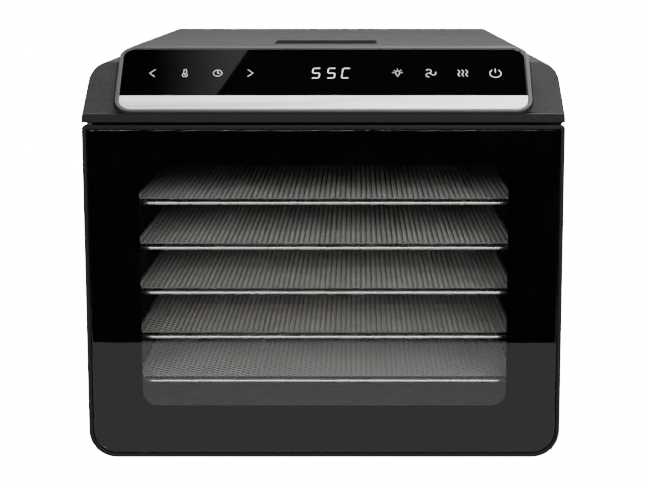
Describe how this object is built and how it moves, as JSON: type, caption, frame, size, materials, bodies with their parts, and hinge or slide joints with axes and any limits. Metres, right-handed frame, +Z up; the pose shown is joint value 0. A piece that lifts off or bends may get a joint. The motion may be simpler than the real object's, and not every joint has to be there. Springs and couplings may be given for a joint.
{
  "type": "food dehydrator",
  "caption": "Countertop food dehydrator with a side-hinged glass door, slide-in wire mesh trays, a sloped touch panel and a rear fan with a ring heater.",
  "frame": {"origin": "centre of the footprint on the surface it stands on", "axes": "+Z up, the door faces -Y, +X to the right seen from the front, and the depth from door to rear cover runs along Y"},
  "size_m": [0.34, 0.42, 0.3025],
  "materials": {
    "cabinet_metal": "fine-textured powder coat",
    "inner_plastic": "matte moulded",
    "top_plastic": "fine spark texture",
    "bezel_plastic": "satin",
    "control_glass": "polished, printed black behind",
    "trim_metal": "brushed along its length",
    "blank_plate": "smooth matte",
    "display_body": "matte",
    "circuit_board": "solder mask",
    "touch_foam": "foam",
    "rubber": "matte",
    "gasket_rubber": "matte silicone",
    "chamber_metal": "matte enamel",
    "insulator": "mica and ceramic",
    "heater_tube": "heat-darkened",
    "plain_steel": "bright zinc",
    "lamp_lens": "frosted",
    "motor_metal": "satin",
    "lead_cover": "satin",
    "bush_plastic": "satin",
    "magnet": "dark ferrite",
    "screw_steel": "zinc plated",
    "door_plastic": "satin",
    "door_glass": "clear, lightly tinted",
    "glass_print": "black ceramic print",
    "fan_metal": "stamped",
    "brass_nut": "plain",
    "tray_wire": "polished wire",
    "tray_mesh": "woven wire"
  },
  "bodies": {
    "cabinet": {"base_pan": "cabinet_metal", "left_side_panel": "cabinet_metal", "right_side_panel": "cabinet_metal", "rear_cover": "cabinet_metal", "front_frame": "inner_plastic", "top_housing": "top_plastic", "control_bezel": "bezel_plastic", "control_glass": "control_glass", "trim_strip": "trim_metal", "top_blank_plate": "blank_plate", "display_module": "display_body", "control_board": "circuit_board", "touch_pads": "touch_foam", "power_board": "circuit_board", "cord_gland": "rubber", "left_runner_wall": "inner_plastic", "right_runner_wall": "inner_plastic", "chamber_floor": "chamber_metal", "chamber_ceiling": "chamber_metal", "rear_baffle": "chamber_metal", "heater_frame": "insulator", "heater_element": "heater_tube", "thermal_cutout": "insulator", "temperature_probe": "plain_steel", "lamp_board": "circuit_board", "lamp_lens": "lamp_lens", "fan_shroud": "plain_steel", "fan_motor": "motor_metal", "motor_bracket": "plain_steel", "internal_wiring": "lead_cover", "hinge_bush_upper": "bush_plastic", "hinge_bracket_lower": "plain_steel", "catch_magnets": "magnet", "feet": "rubber", "base_screws": "screw_steel", "rear_screws": "screw_steel"},
    "door": {"door_frame": "door_plastic", "door_glass": "door_glass", "glass_border": "glass_print", "door_gasket": "gasket_rubber", "hinge_pin_upper": "plain_steel", "hinge_pin_lower": "plain_steel", "catch_plates": "plain_steel"},
    "tray_1": {"tray_1_frame": "tray_wire", "tray_1_mesh": "tray_mesh"},
    "tray_2": {"tray_2_frame": "tray_wire", "tray_2_mesh": "tray_mesh"},
    "tray_3": {"tray_3_frame": "tray_wire", "tray_3_mesh": "tray_mesh"},
    "tray_4": {"tray_4_frame": "tray_wire", "tray_4_mesh": "tray_mesh"},
    "tray_5": {"tray_5_frame": "tray_wire", "tray_5_mesh": "tray_mesh"},
    "fan": {"fan_impeller": "fan_metal", "motor_shaft": "plain_steel", "shaft_nut": "brass_nut"}
  },
  "joints": [
    {"name": "door_hinge", "type": "hinge", "parent": "cabinet", "child": "door", "pos_m": [-0.165, -0.2015, 0.129], "axis": [0, 0, -1], "range_deg": [0, 110]},
    {"name": "tray_1_slide", "type": "slide", "parent": "cabinet", "child": "tray_1", "axis": [0, -1, 0], "range_m": [0, 0.29]},
    {"name": "tray_2_slide", "type": "slide", "parent": "cabinet", "child": "tray_2", "axis": [0, -1, 0], "range_m": [0, 0.29]},
    {"name": "tray_3_slide", "type": "slide", "parent": "cabinet", "child": "tray_3", "axis": [0, -1, 0], "range_m": [0, 0.29]},
    {"name": "tray_4_slide", "type": "slide", "parent": "cabinet", "child": "tray_4", "axis": [0, -1, 0], "range_m": [0, 0.29]},
    {"name": "tray_5_slide", "type": "slide", "parent": "cabinet", "child": "tray_5", "axis": [0, -1, 0], "range_m": [0, 0.29]},
    {"name": "fan_spin", "type": "hinge", "parent": "cabinet", "child": "fan", "pos_m": [0, 0.144, 0.128], "axis": [0, 1, 0], "continuous": true}
  ],
  "couplings": [
    {"joint": "tray_1_slide", "follows": "door_hinge", "m_per_rad": 0.016},
    {"joint": "tray_2_slide", "follows": "door_hinge", "m_per_rad": 0.022},
    {"joint": "tray_3_slide", "follows": "door_hinge", "m_per_rad": 0.028},
    {"joint": "tray_4_slide", "follows": "door_hinge", "m_per_rad": 0.034},
    {"joint": "tray_5_slide", "follows": "door_hinge", "m_per_rad": 0.04}
  ]
}
